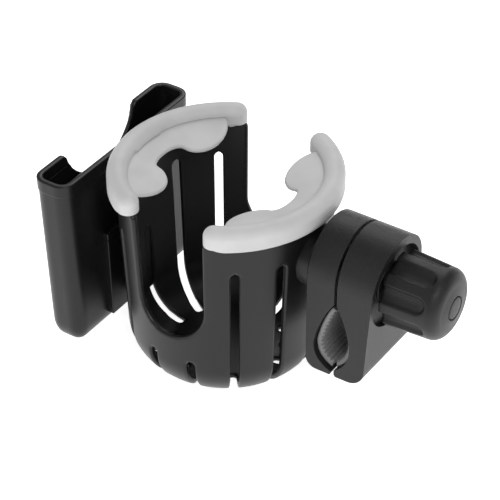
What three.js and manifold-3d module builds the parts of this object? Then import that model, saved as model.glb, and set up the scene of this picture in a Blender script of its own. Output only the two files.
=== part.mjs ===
// Clamp-on cup holder with a phone pocket.
// Millimetres, +Z up. The origin is the centre of the cup's flat underside: the cup's axis is Z,
// the tube clamp and its knob are on the +X side, and the phone pocket is on the -X side.

import * as THREE from "three";
import { mergeVertices } from "three/addons/utils/BufferGeometryUtils.js";
import Module from "manifold-3d";

const wasm = await Module();
wasm.setup();

// ---------------------------------------------------------------- driving dimensions

const GAP = 0.3;                 // air between neighbouring pieces

const CUP_TOP = 94;              // top of the moulded wall, inside the rim covers
const CUP_TOP_R = 46.8;
const BOWL_R = 43;               // outer radius where the wall turns into the bowl
const BOWL_CORNER = 20;
const WALL = 2.6;
const FLOOR = 3;

const SLOT_COUNT = 14;
const SLOT_WIDTH = 4;
const SLOT_TOP = 72.8;
const SLOT_INNER_R = 24;         // the slots stop here, round a solid disc in the floor
const SHORT_SLOT_TOP = 22.5;     // slots under the side cut-outs
const HUB_SLOT_TOP = 50;         // slot under the swivel boss

const CUTOUT_HALF = 17.4;        // U-shaped openings in the +Y and -Y sides, at the rim
const CUTOUT_FOOT_HALF = 15.9;   // they narrow to this at their round bottoms
const CUTOUT_BOTTOM = 35.2;

const RIM_OUTER_R = 50;
const RIM_INNER_R = 41;
const RIM_TOP = 97;
const RIM_FOOT = 87.4;
const RIM_LIP_FOOT = 92.7;
const RIM_LIP_ANGLE = 57;        // the inner side is cut up to the lip between these angles
const RIM_END_ANGLE = 62;        // degrees from X to the centre of a cover's round end
const WALL_HORN_ANGLE = 62.7;    // the wall is this wide inside the covers

const LEAF_TOP = 92.4;           // where a leaf meets its cover
const LEAF_SLOPE = 0.23;         // it falls by this much for each millimetre inwards
const LEAF_THICKNESS = 1.8;
const LEAF_OUTER_R = 40.7;
const LOBE = { x: 28.3, y: 22.5, halfX: 10.5, halfY: 13.5 };
const WAIST = { halfX: 3.6, halfY: 9 };
const FOLD_ANGLE = 38.5;         // degrees from X to the middle of a lobe
const FOLD_R = 38.3;             // each lobe folds about a tangent at this radius
const FOLD_INNER_END = -11;      // where the fold line starts, along the tangent

const AXIS_Z = 68.6;             // height of the swivel, bolt and knob axis
const BOSS_R = 13.4;
const BOSS_FACE_X = 49.6;
const HUB_R = 17.2;
const HUB_X = 50.8;

const JAW_HALF = 20;
const JAW_TOP = 91.5;
const JAW_BOTTOM = 26.4;
const INNER_JAW_X = 53;
const PART_LINE_X = 66.9;
const PART_LINE_GAP = 1.3;
const OUTER_JAW_X_BOTTOM = 81.2;
const OUTER_JAW_X_TOP = 84.9;
const RECESS_R = 18.5;
const RECESS_FLOOR_X = 79.6;
const PAD_HALF = 17.5;
const PAD_THICKNESS = 1.6;
const PAD_RIB = 0.5;
const PAD_RIB_COUNT = 15;

const BOLT_R = 4;                // M8 stud with two flats
const BOLT_FLAT = 3.1;
const JAW_TRAVEL = 20;

const KNOB_R = 16.5;
const KNOB_NOSE_R = 15.6;
const KNOB_BASE_X = 81;
const KNOB_SKIRT_X = 84.5;       // the fluted part starts here, on a collar
const KNOB_COLLAR_R = 10;
const KNOB_TIP_X = 111;
const KNOB_EDGE = 6;
const FLUTE_COUNT = 8;
const FLUTE_R = 4.6;
const FLUTE_DEPTH = 2.2;
const FLUTE_END_X = 105;
const CAP_R = 5;

const POCKET_FACE_X = -50.9;
const POCKET_BACK_X = -68.7;
const POCKET_HALF = 45.8;
const POCKET_SHIFT = 1.2;        // the pouch sits this far towards +Y of its rail
const POCKET_FOOT_HALF = 43.2;
const POCKET_CORNER = 5;
const POCKET_PLAN_CORNER = 0.6;  // corner of the plan before its rounded sides are added
const POCKET_TOP = 89.4;
const POCKET_BOTTOM = 5.5;
const POCKET_WALL = 2.2;
const POCKET_BAND = 0.4;         // the band round the mouth stands out by this much
const POCKET_BAND_HEIGHT = 6;
const POCKET_FOOT_ROUND = 8;
const POCKET_CUT_R = 25;         // round cut in the pocket's back wall
const POCKET_CUT_Z = 95;
const LEAN = 0.028;              // pocket and rail lean like the cup's wall

const RAIL_TOP = 50;             // dovetail rail on the cup that carries the pocket
const RAIL_BOTTOM = 14;
const RAIL_NECK = 7;
const RAIL_WIDE = 9;
const RAIL_NECK_X = -48.3;
const RAIL_FACE_X = -50.6;
const PLATE_HALF = 21.6;         // plate on the pocket with the channel for the rail
const PLATE_BOTTOM = 10.8;
const PLATE_TOP = 54;
const PLATE_X = -48.2;

const ROUND = 40;                // sides of a plain turned piece
const SMALL_ROUND = 24;          // sides of a hole, washer or screw
const RING_ROUND = 72;           // sides of the rim
const CURVE_SEGMENTS = 24;
const REACH = 120;               // cutters run out to here, beyond every piece

// ---------------------------------------------------------------- helpers

const deg = THREE.MathUtils.degToRad;

/** A closed geometry as a solid that can be joined and cut. */
function solid(geometry) {
  const bare = geometry.clone();
  bare.deleteAttribute("normal");
  bare.deleteAttribute("uv");
  const merged = mergeVertices(bare, 1e-4);
  const index = merged.index.array;
  const triangles = [];
  for (let i = 0; i < index.length; i += 3) {
    const [a, b, c] = [index[i], index[i + 1], index[i + 2]];
    if (a !== b && b !== c && c !== a) triangles.push(a, b, c);
  }
  return new wasm.Manifold(new wasm.Mesh({
    numProp: 3,
    vertProperties: new Float32Array(merged.attributes.position.array),
    triVerts: new Uint32Array(triangles),
  }));
}

function joinAll(first, ...rest) {
  return rest.reduce((whole, next) => whole.add(next), first);
}

function cutAll(first, ...rest) {
  return rest.reduce((whole, next) => whole.subtract(next), first);
}

/** The solid as a geometry that a mesh can show. */
function geometryOf(manifold) {
  const mesh = manifold.getMesh();
  const geometry = new THREE.BufferGeometry();
  geometry.setAttribute("position", new THREE.BufferAttribute(new Float32Array(mesh.vertProperties), 3));
  geometry.setIndex(new THREE.BufferAttribute(new Uint32Array(mesh.triVerts), 1));
  geometry.computeVertexNormals();
  return geometry;
}

function pushed(shape, depth) {
  return new THREE.ExtrudeGeometry(shape, { depth, bevelEnabled: false, curveSegments: CURVE_SEGMENTS });
}

/** A shape drawn in X and Y, pushed along Z. */
function alongZ(shape, z0, z1) {
  const geometry = pushed(shape, z1 - z0);
  return solid(geometry.translate(0, 0, z0));
}

/** A shape drawn in X and Z, pushed along Y. */
function alongY(shape, y0, y1) {
  const geometry = pushed(shape, y1 - y0);
  return solid(geometry.rotateX(Math.PI / 2).translate(0, y1, 0));
}

/** A shape drawn in Y and Z, pushed along X. */
function alongX(shape, x0, x1) {
  const geometry = pushed(shape, x1 - x0);
  const turn = new THREE.Matrix4().makeBasis(
    new THREE.Vector3(0, 1, 0), new THREE.Vector3(0, 0, 1), new THREE.Vector3(1, 0, 0));
  return solid(geometry.applyMatrix4(turn).translate(x0, 0, 0));
}

/** A profile of [radius, z] points turned about the Z axis. */
function turned(profile, sides = ROUND) {
  const points = profile.map(([r, z]) => new THREE.Vector2(r, z));
  return solid(new THREE.LatheGeometry(points, sides).rotateX(Math.PI / 2));
}

/** A profile of [radius, x] points turned about the clamp's axis. */
function turnedOnAxis(profile, sides = ROUND) {
  const points = profile.map(([r, x]) => new THREE.Vector2(r, x));
  return solid(new THREE.LatheGeometry(points, sides).rotateZ(-Math.PI / 2).translate(0, 0, AXIS_Z));
}

/** A plain rod on the clamp's axis, or beside it by y. */
function rod(radius, x0, x1, { sides = ROUND, y = 0 } = {}) {
  const geometry = new THREE.CylinderGeometry(radius, radius, x1 - x0, sides).rotateZ(-Math.PI / 2);
  return solid(geometry.translate((x0 + x1) / 2, y, AXIS_Z));
}

/** A hole on the clamp's axis, or beside it by y. */
function bore(radius, x0, x1, y = 0) {
  return rod(radius, x0, x1, { sides: SMALL_ROUND, y });
}

/** A flat washer on the clamp's axis. */
function washer(radius, hole, x0, x1) {
  return rod(radius, x0, x1).subtract(bore(hole, x0 - 1, x1 + 1));
}

/** A box between two corners. */
function box(x0, x1, y0, y1, z0, z1) {
  const geometry = new THREE.BoxGeometry(x1 - x0, y1 - y0, z1 - z0);
  return solid(geometry.translate((x0 + x1) / 2, (y0 + y1) / 2, (z0 + z1) / 2));
}

function shapeOf(points) {
  return new THREE.Shape(points.map(([x, y]) => new THREE.Vector2(x, y)));
}

/** Points of an elliptical arc, both ends included, angles in degrees. */
function arcPoints(cx, cy, rx, ry, from, to, steps) {
  const points = [];
  for (let i = 0; i <= steps; i += 1) {
    const angle = deg(from + ((to - from) * i) / steps);
    points.push([cx + rx * Math.cos(angle), cy + ry * Math.sin(angle)]);
  }
  return points;
}

/** A solid turned about the Z axis. */
function turnedRound(manifold, angle) {
  return solid(geometryOf(manifold).rotateZ(deg(angle)));
}

/** The solid sheared in X, so that it follows the lean of the cup's wall below the pocket's mouth. */
function leaned(manifold) {
  const shear = new THREE.Matrix4().makeShear(0, 0, 0, 0, -LEAN, 0);
  return solid(geometryOf(manifold).applyMatrix4(shear).translate(LEAN * POCKET_TOP, 0, 0));
}

/** A wedge with its point on the Z axis, open by the same angle to each side of +X. */
function wedge(halfAngle, z0, z1) {
  const points = [[0, 0], ...arcPoints(0, 0, REACH, REACH, -halfAngle, halfAngle, 12)];
  return alongZ(shapeOf(points), z0, z1);
}

// ---------------------------------------------------------------- the object and its finishes

const finishes = {
  black_plastic: { color: 0x1c1d1f, roughness: 0.38, metalness: 0 },
  grained_plastic: { color: 0x2b2c2e, roughness: 0.55, metalness: 0 },
  grey_soft: { color: 0xc6c6c6, roughness: 0.6, metalness: 0 },
  pad_rubber: { color: 0x8c8d8f, roughness: 0.75, metalness: 0 },
  steel: { color: 0xb6b8bb, roughness: 0.3, metalness: 1 },
  brass: { color: 0xc9a552, roughness: 0.35, metalness: 1 },
  nylon: { color: 0xe6e3d8, roughness: 0.5, metalness: 0 },
};

const holder = new THREE.Group();

function place(name, finish, manifold) {
  const mesh = new THREE.Mesh(geometryOf(manifold), new THREE.MeshStandardMaterial(finishes[finish]));
  mesh.name = name;
  holder.add(mesh);
}

// ---------------------------------------------------------------- cup

const BOSS_ROOT_X = 38;
const SCREW_SEAT_R = 6.4;
const SCREW_SEAT_X = 46.9;
const SCREW_HOLE_R = 3;
const RAIL_ROOT_X = -40;

/** Radius of the cup's outside at a height above the bowl. */
function cupRadius(z) {
  return BOWL_R + ((CUP_TOP_R - BOWL_R) * (z - BOWL_CORNER)) / (CUP_TOP - BOWL_CORNER);
}

/** The cup's outside, or its inside when inset by the wall. */
function cupBody(inset, floor, top) {
  const corner = BOWL_CORNER - inset;
  const flat = BOWL_R - BOWL_CORNER;
  const profile = [[0, floor], ...arcPoints(flat, floor + corner, corner, corner, -90, 0, 8)];
  const topRadius = cupRadius(top) - inset;
  return turned([...profile, [topRadius, top], [0, top]], SLOT_COUNT * 6);
}

/** A slot with a round top, cut outwards from the floor's solid disc. */
function slot(top, end) {
  const half = SLOT_WIDTH / 2;
  const outline = [[-half, -1], [half, -1], ...arcPoints(0, top - half, half, half, 0, 180, 8)];
  return alongX(shapeOf(outline), SLOT_INNER_R, end);
}

function cupCage() {
  const boss = rod(BOSS_R, BOSS_ROOT_X, BOSS_FACE_X);
  const rail = leaned(alongZ(dovetail(0), RAIL_BOTTOM, RAIL_TOP));
  let cage = joinAll(cupBody(0, 0, CUP_TOP), boss, rail);
  cage = cage.subtract(cupBody(WALL, FLOOR, CUP_TOP + 1));

  const step = 360 / SLOT_COUNT;
  for (let i = 0; i < SLOT_COUNT; i += 1) {
    const angle = ((i * step + 180) % 360) - 180;
    const underCutout = Math.abs(Math.abs(angle) - 90) < step;
    const behindRail = i * 2 === SLOT_COUNT;
    let top = SLOT_TOP;
    if (underCutout) top = SHORT_SLOT_TOP;
    if (i === 0) top = HUB_SLOT_TOP;
    const end = behindRail ? cupRadius(RAIL_TOP) : REACH;
    cage = cage.subtract(turnedRound(slot(top, end), angle));
  }

  const cutoutCentre = CUTOUT_BOTTOM + CUTOUT_FOOT_HALF;
  const cutout = [
    [CUTOUT_FOOT_HALF, cutoutCentre], [CUTOUT_HALF, CUP_TOP], [CUTOUT_HALF, REACH],
    [-CUTOUT_HALF, REACH], [-CUTOUT_HALF, CUP_TOP], [-CUTOUT_FOOT_HALF, cutoutCentre],
    ...arcPoints(0, cutoutCentre, CUTOUT_FOOT_HALF, CUTOUT_FOOT_HALF, 180, 360, 16).slice(1, -1),
  ];
  cage = cage.subtract(alongY(shapeOf(cutout), -REACH, REACH));

  // Inside the rim covers the wall is a little narrower, so that the covers close round its ends.
  const hornBottom = RIM_FOOT - GAP;
  const horn = wedge(WALL_HORN_ANGLE, hornBottom, REACH);
  const aroundHorns = box(-REACH, REACH, -REACH, REACH, hornBottom, REACH);
  const shoulders = cutAll(aroundHorns, horn, turnedRound(horn, 180));
  const screwSeat = rod(SCREW_SEAT_R, 0, SCREW_SEAT_X);
  return cutAll(cage, shoulders, screwSeat, bore(SCREW_HOLE_R, 0, BOSS_FACE_X + 1));
}

/** Plan of the dovetail rail, grown by a clearance for the channel that slides on it. */
function dovetail(clearance) {
  const face = RAIL_FACE_X - clearance;
  const wide = RAIL_WIDE + clearance;
  const neck = RAIL_NECK + clearance;
  return shapeOf([
    [face, -wide], [RAIL_NECK_X, -neck], [RAIL_ROOT_X, -neck],
    [RAIL_ROOT_X, neck], [RAIL_NECK_X, neck], [face, wide],
  ]);
}

place("cup_cage", "black_plastic", cupCage());

// ---------------------------------------------------------------- rim covers and grip leaves

const RIM_MIDDLE_R = (RIM_OUTER_R + RIM_INNER_R) / 2;
const RIM_HALF_WIDTH = (RIM_OUTER_R - RIM_INNER_R) / 2;
const RIM_CROWN = 4.2;
const RIM_CHAMFER = 0.8;
const END_CLEARANCE = 0.4;       // degrees between the wall's ends and the covers

/** A cover: a half-round ring closed by two round ends, hollow below where it sits over the wall. */
function rimCover() {
  const shoulder = RIM_TOP - RIM_CROWN;
  const ring = turned([
    [RIM_INNER_R, RIM_FOOT], [RIM_OUTER_R - RIM_CHAMFER, RIM_FOOT], [RIM_OUTER_R, RIM_FOOT + RIM_CHAMFER],
    ...arcPoints(RIM_MIDDLE_R, shoulder, RIM_HALF_WIDTH, RIM_CROWN, 0, 180, 10),
    [RIM_INNER_R, RIM_FOOT],
  ], RING_ROUND);
  const end = turned([
    [0, RIM_FOOT], [RIM_HALF_WIDTH - RIM_CHAMFER, RIM_FOOT], [RIM_HALF_WIDTH, RIM_FOOT + RIM_CHAMFER],
    ...arcPoints(0, shoulder, RIM_HALF_WIDTH, RIM_CROWN, 0, 90, 5),
  ], SMALL_ROUND);
  const cover = ring.intersect(wedge(RIM_END_ANGLE, 0, REACH));
  const ends = [-RIM_END_ANGLE, RIM_END_ANGLE].map((angle) => solid(geometryOf(end)
    .translate(RIM_MIDDLE_R * Math.cos(deg(angle)), RIM_MIDDLE_R * Math.sin(deg(angle)), 0)));

  const innerFoot = cupRadius(RIM_FOOT) - WALL - GAP;
  const innerWall = cupRadius(RIM_LIP_FOOT) - WALL - GAP;
  const outerWall = CUP_TOP_R + GAP;
  const channel = turned([
    [innerFoot, 0], [outerWall, 0], [outerWall, CUP_TOP + GAP], [innerWall, CUP_TOP + GAP],
    [innerWall, RIM_LIP_FOOT], [innerFoot, RIM_FOOT], [innerFoot, 0],
  ], RING_ROUND).intersect(wedge(WALL_HORN_ANGLE + END_CLEARANCE, 0, REACH));
  const underLip = turned([
    [0, 0], [innerWall + 0.1, 0], [innerWall + 0.1, RIM_LIP_FOOT], [0, RIM_LIP_FOOT],
  ], RING_ROUND).intersect(wedge(RIM_LIP_ANGLE, 0, REACH));
  return cutAll(joinAll(cover, ...ends), channel, underLip);
}

/** A leaf is cut from a shallow cone that falls towards the cup's axis. */
function gripLeaf() {
  const middle = LEAF_TOP - LEAF_SLOPE * LEAF_OUTER_R;
  const cone = turned([
    [0, middle - LEAF_THICKNESS], [LEAF_OUTER_R, LEAF_TOP - LEAF_THICKNESS],
    [LEAF_OUTER_R, LEAF_TOP], [0, middle],
  ], RING_ROUND);
  const ellipse = (y, halfX, halfY) => alongZ(
    shapeOf(arcPoints(LOBE.x, y, halfX, halfY, 0, 360, 36).slice(0, -1)), 0, REACH);
  const outline = joinAll(
    ellipse(LOBE.y, LOBE.halfX, LOBE.halfY), ellipse(-LOBE.y, LOBE.halfX, LOBE.halfY),
    box(LOBE.x, REACH, -LOBE.y, LOBE.y, 0, REACH));
  return cone.intersect(outline).subtract(ellipse(0, WAIST.halfX, WAIST.halfY));
}

/** The space on the inner side of one lobe's fold line, for the lobe towards +Y or -Y. */
function lobeSpace(end, clearance) {
  const inner = FOLD_INNER_END - clearance;
  const [y0, y1] = end > 0 ? [inner, REACH] : [-REACH, -inner];
  return turnedRound(box(0, FOLD_R - GAP / 2 + clearance, y0, y1, 0, REACH), end * FOLD_ANGLE);
}

for (const [side, angle] of [["clamp_side", 0], ["pocket_side", 180]]) {
  const leaf = gripLeaf();
  const root = cutAll(leaf, lobeSpace(1, GAP), lobeSpace(-1, GAP));
  place(`${side}_rim_cover`, "grey_soft", turnedRound(rimCover(), angle));
  place(`${side}_leaf_root`, "grey_soft", turnedRound(root, angle));
  for (const [name, y] of [["far", 1], ["near", -1]]) {
    const end = angle === 0 ? y : -y;
    place(`${side}_lobe_${name}`, "grey_soft", turnedRound(leaf.intersect(lobeSpace(end, 0)), angle));
  }
}

// ---------------------------------------------------------------- swivel between cup and clamp

const SCREW = { headX: 43.4, neckX: 45.8, endX: 55.6, headR: 5, topR: 3.6, shankR: 2.5, dome: 1.2 };

place("swivel_screw", "steel", turnedOnAxis([
  [0, SCREW.headX], [SCREW.topR, SCREW.headX], [SCREW.headR, SCREW.headX + SCREW.dome],
  [SCREW.headR, SCREW.neckX], [SCREW.shankR, SCREW.neckX], [SCREW.shankR, SCREW.endX], [0, SCREW.endX],
]));
place("swivel_wave_washer", "steel", washer(5.4, SCREW_HOLE_R, SCREW.neckX + GAP, SCREW_SEAT_X - GAP));
place("swivel_friction_washer", "nylon", washer(BOSS_R, SCREW_HOLE_R, BOSS_FACE_X + GAP, HUB_X - GAP));

const HUB_SEAT_X = 55.2;
const HUB_BOSS_X = 56.8;
const HUB_BOSS_R = 6;
const HUB_CHAMFER = 0.6;
const INSERT_R = 4;
const INSERT_BORE = 2.8;
const HUB_SCREW_Y = 11.6;
const HUB_SCREW_HEAD_R = 2.8;
const HUB_SCREW_R = 1.5;
const HUB_SCREW_END_X = 62;
const HUB_SCREW_SEAT_X = 52.9;

function swivelHub() {
  let hub = turnedOnAxis([
    [0, HUB_X], [HUB_R - HUB_CHAMFER, HUB_X], [HUB_R, HUB_X + HUB_CHAMFER], [HUB_R, HUB_SEAT_X],
    [HUB_BOSS_R, HUB_SEAT_X], [HUB_BOSS_R, HUB_BOSS_X], [0, HUB_BOSS_X],
  ]);
  hub = cutAll(hub, bore(INSERT_R + GAP, 0, REACH));
  for (const y of [-HUB_SCREW_Y, HUB_SCREW_Y]) {
    const seat = bore(HUB_SCREW_HEAD_R + GAP, 0, HUB_SCREW_SEAT_X, y);
    hub = cutAll(hub, seat, bore(HUB_SCREW_R + GAP, 0, REACH, y));
  }
  return hub;
}

place("swivel_hub", "black_plastic", swivelHub());
place("hub_insert", "brass", washer(INSERT_R, INSERT_BORE, HUB_X + GAP, HUB_BOSS_X));
for (const [name, y] of [["hub_screw_near", -HUB_SCREW_Y], ["hub_screw_far", HUB_SCREW_Y]]) {
  const head = bore(HUB_SCREW_HEAD_R, HUB_X + GAP, HUB_SCREW_SEAT_X - GAP, y);
  const shank = bore(HUB_SCREW_R, HUB_X + 1, HUB_SCREW_END_X, y);
  place(name, "steel", head.add(shank));
}

// ---------------------------------------------------------------- clamp jaws and pads

const BOLT_HEAD_X = 57.3;
const BOLT_HEAD_END_X = 61;
const HEX_R = 7;
const HEX_POCKET_R = 7.5;
const SPRING_WELL_R = 7.6;
const SPRING_WELL_X = 76;
const LIP = { inner: 64.9, outer: 66.5, chamfer: 1.2 };
const GRIP_STEPS = 28;

/** Front view of both jaws: straight sides and a round top. */
function jawFront() {
  const arch = arcPoints(0, JAW_TOP - JAW_HALF, JAW_HALF, JAW_HALF, 0, 180, 32);
  return shapeOf([[-JAW_HALF, 0], [JAW_HALF, 0], ...arch]);
}

const innerEdge = PART_LINE_X - PART_LINE_GAP / 2;
const outerEdge = PART_LINE_X + PART_LINE_GAP / 2;

/** Side view of one jaw's half of the grip: two curves in X and Z, from its peak down to the lip. */
function gripCurve(points) {
  const [peak, upper, middle, lower, lip] = points.map(([x, z]) => new THREE.Vector2(x, z));
  const curve = new THREE.CurvePath();
  curve.add(new THREE.QuadraticBezierCurve(peak, upper, middle));
  curve.add(new THREE.QuadraticBezierCurve(middle, lower, lip));
  return curve;
}

const innerGrip = gripCurve([[innerEdge, 63.6], [59.6, 54.6], [56.9, 41], [56.4, 31.5], [65.7, 28.3]]);
const outerGrip = gripCurve([[outerEdge, 63.6], [72.6, 54.6], [73.9, 44], [74.4, 34.6], [66.5, 29.2]]);

/** Points along a grip curve, moved towards the grip's middle by a distance that may vary. */
function gripLine(curve, inward, towards, from, to, steps) {
  const points = [];
  for (let i = 0; i <= steps; i += 1) {
    const u = from + ((to - from) * i) / steps;
    const point = curve.getPointAt(u);
    const tangent = curve.getTangentAt(u);
    const distance = inward(u) * towards;
    points.push([point.x - tangent.y * distance, point.y + tangent.x * distance]);
  }
  return points;
}

function innerJaw() {
  const round = 5;
  const side = [
    [INNER_JAW_X, REACH], [INNER_JAW_X, JAW_BOTTOM + round],
    ...arcPoints(INNER_JAW_X + round, JAW_BOTTOM + round, round, round, 180, 270, 6).slice(1),
    [LIP.inner, JAW_BOTTOM],
    ...gripLine(innerGrip, () => 0, 1, 0, 1, GRIP_STEPS).reverse(),
    [innerEdge, REACH],
  ];
  const front = alongX(jawFront(), INNER_JAW_X - 1, PART_LINE_X);
  const jaw = front.intersect(alongY(shapeOf(side), -REACH, REACH));
  const hexPocket = rod(HEX_POCKET_R, HUB_X, BOLT_HEAD_END_X + GAP, { sides: 6 });
  const screwHoles = [-HUB_SCREW_Y, HUB_SCREW_Y].map(
    (y) => bore(HUB_SCREW_R + GAP, HUB_X, HUB_SCREW_END_X + 1, y));
  return cutAll(jaw, rod(HUB_R + GAP, 0, HUB_SEAT_X + GAP), hexPocket, boltHole(), ...screwHoles);
}

function outerJaw() {
  const round = 8;
  const side = [
    [outerEdge, REACH], ...gripLine(outerGrip, () => 0, 1, 0, 1, GRIP_STEPS),
    [LIP.outer, JAW_BOTTOM + LIP.chamfer], [LIP.outer + LIP.chamfer, JAW_BOTTOM],
    ...arcPoints(OUTER_JAW_X_BOTTOM - round, JAW_BOTTOM + round, round, round, 270, 360, 8),
    [OUTER_JAW_X_TOP, JAW_TOP], [OUTER_JAW_X_TOP, REACH],
  ];
  const jaw = alongX(jawFront(), PART_LINE_X, REACH).intersect(alongY(shapeOf(side), -REACH, REACH));
  const springWell = rod(SPRING_WELL_R, 0, SPRING_WELL_X);
  return cutAll(jaw, rod(RECESS_R, RECESS_FLOOR_X, REACH), boltHole(), springWell);
}

function boltHole() {
  return boltShape(BOLT_R + GAP, BOLT_FLAT + GAP, HUB_X, REACH);
}

/** A rod with two flats, its upper and lower sides. */
function boltShape(radius, flat, x0, x1) {
  return rod(radius, x0, x1, { sides: 32 }).intersect(
    box(x0 - 1, x1 + 1, -REACH, REACH, AXIS_Z - flat, AXIS_Z + flat));
}

/** A ribbed rubber pad that lines one side of the grip. */
function gripPad(curve, towards, from, to) {
  const ribs = (u) => {
    const wave = Math.abs(Math.sin((Math.PI * PAD_RIB_COUNT * (u - from)) / (to - from)));
    return GAP + PAD_THICKNESS + PAD_RIB * wave;
  };
  const back = gripLine(curve, () => GAP, towards, from, to, GRIP_STEPS);
  const front = gripLine(curve, ribs, towards, from, to, PAD_RIB_COUNT * 4);
  return alongY(shapeOf([...back, ...front.reverse()]), -PAD_HALF, PAD_HALF);
}

const PAD_START = 0.1;           // share of the grip curve where a pad begins
const PAD_END = 0.97;

place("inner_jaw", "grained_plastic", innerJaw());
place("inner_jaw_pad", "pad_rubber", gripPad(innerGrip, 1, PAD_START, PAD_END));
place("outer_jaw", "grained_plastic", outerJaw());
place("outer_jaw_pad", "pad_rubber", gripPad(outerGrip, -1, PAD_START, PAD_END));

// ---------------------------------------------------------------- clamp bolt, spring and knob

const BOLT_TIP_X = 108.9;
const CLIP_X = 107.9;
const CLIP_END_X = 108.4;
const CLIP_R = 4.8;
const GROOVE_R = 2.6;
const GROOVE_CLEARANCE = 0.2;

function clampBolt() {
  const head = rod(HEX_R, BOLT_HEAD_X, BOLT_HEAD_END_X, { sides: 6 });
  const shank = boltShape(BOLT_R, BOLT_FLAT, BOLT_HEAD_END_X - 1, BOLT_TIP_X);
  const groove = washer(BOLT_R + 1, GROOVE_R, CLIP_X - GROOVE_CLEARANCE, CLIP_END_X + GROOVE_CLEARANCE);
  return head.add(shank).subtract(groove);
}

place("clamp_bolt", "steel", clampBolt());
place("bolt_stop_clip", "steel", washer(CLIP_R, GROOVE_R + GAP, CLIP_X, CLIP_END_X));

/** A coil round the clamp's axis. */
class Helix extends THREE.Curve {
  constructor(radius, x0, x1, turns) {
    super();
    Object.assign(this, { radius, x0, x1, turns });
  }

  getPoint(t, target = new THREE.Vector3()) {
    const angle = 2 * Math.PI * this.turns * t;
    const x = this.x0 + (this.x1 - this.x0) * t;
    return target.set(x, this.radius * Math.cos(angle), AXIS_Z + this.radius * Math.sin(angle));
  }
}

const SPRING = { radius: 5.8, wire: 0.5, turns: 5, stepsPerTurn: 14 };

function jawSpring() {
  const section = shapeOf(arcPoints(0, 0, SPRING.wire, SPRING.wire, 0, 360, 6).slice(0, -1));
  const clearance = GAP + SPRING.wire;
  const path = new Helix(SPRING.radius, innerEdge + clearance, SPRING_WELL_X - clearance, SPRING.turns);
  const steps = SPRING.turns * SPRING.stepsPerTurn;
  return solid(new THREE.ExtrudeGeometry(section, { steps, bevelEnabled: false, extrudePath: path }));
}

place("jaw_spring", "steel", jawSpring());
place("knob_thrust_washer", "steel", washer(9, BOLT_R + GAP, RECESS_FLOOR_X + GAP, KNOB_BASE_X - GAP));

const KNOB_CHAMFER = 0.8;
const KNOB_INSERT_R = 6.1;
const KNOB_INSERT_END_X = CLIP_X - JAW_TRAVEL - 0.2;
const KNOB_HEX_R = 6.5;
const CAP_CLEARANCE = 0.2;
const CAP_CHAMFER = 0.4;

function knobBody() {
  const noseX = KNOB_TIP_X - KNOB_CHAMFER - KNOB_EDGE;
  let knob = turnedOnAxis([
    [0, KNOB_BASE_X], [KNOB_COLLAR_R, KNOB_BASE_X], [KNOB_COLLAR_R, KNOB_SKIRT_X],
    [KNOB_R - KNOB_CHAMFER, KNOB_SKIRT_X], [KNOB_R, KNOB_SKIRT_X + KNOB_CHAMFER],
    ...arcPoints(KNOB_NOSE_R - KNOB_EDGE, noseX, KNOB_EDGE, KNOB_EDGE, 0, 90, 6),
    [CAP_R + CAP_CLEARANCE, KNOB_TIP_X], [0, KNOB_TIP_X],
  ], FLUTE_COUNT * 6);
  const flute = turnedOnAxis([
    [0, KNOB_BASE_X - 1], [FLUTE_R, KNOB_BASE_X - 1],
    ...arcPoints(0, FLUTE_END_X - FLUTE_R, FLUTE_R, FLUTE_R, 0, 90, 3),
  ], 16);
  const reach = KNOB_R + FLUTE_R - FLUTE_DEPTH;
  for (let i = 0; i < FLUTE_COUNT; i += 1) {
    const angle = (2 * Math.PI * (i + 0.5)) / FLUTE_COUNT;
    const moved = geometryOf(flute).translate(0, reach * Math.cos(angle), reach * Math.sin(angle));
    knob = knob.subtract(solid(moved));
  }
  const hexHole = rod(KNOB_HEX_R, KNOB_BASE_X - 1, KNOB_INSERT_END_X + GAP, { sides: 6 });
  return cutAll(knob, hexHole, bore(CAP_R + CAP_CLEARANCE, KNOB_BASE_X, REACH));
}

function knobInsert() {
  const hex = rod(KNOB_INSERT_R, KNOB_BASE_X + GAP, KNOB_INSERT_END_X, { sides: 6 });
  return hex.subtract(bore(BOLT_R + GAP, KNOB_BASE_X, REACH));
}

place("knob_body", "grained_plastic", knobBody());
place("knob_insert", "brass", knobInsert());
place("knob_cap", "grained_plastic", turnedOnAxis([
  [0, BOLT_TIP_X + GAP], [CAP_R - 0.1, BOLT_TIP_X + GAP], [CAP_R - 0.1, KNOB_TIP_X - 0.3],
  [CAP_R - 0.1 - CAP_CHAMFER, KNOB_TIP_X], [0, KNOB_TIP_X + 0.2],
]));

// ---------------------------------------------------------------- phone pocket

/** A rectangle with round corners, drawn in X and Y. */
function roundedPlan(x0, x1, half, corner) {
  return shapeOf([
    ...arcPoints(x1 - corner, half - corner, corner, corner, 0, 90, 8),
    ...arcPoints(x0 + corner, half - corner, corner, corner, 90, 180, 8),
    ...arcPoints(x0 + corner, -half + corner, corner, corner, 180, 270, 8),
    ...arcPoints(x1 - corner, -half + corner, corner, corner, 270, 360, 8),
  ]);
}

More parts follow.
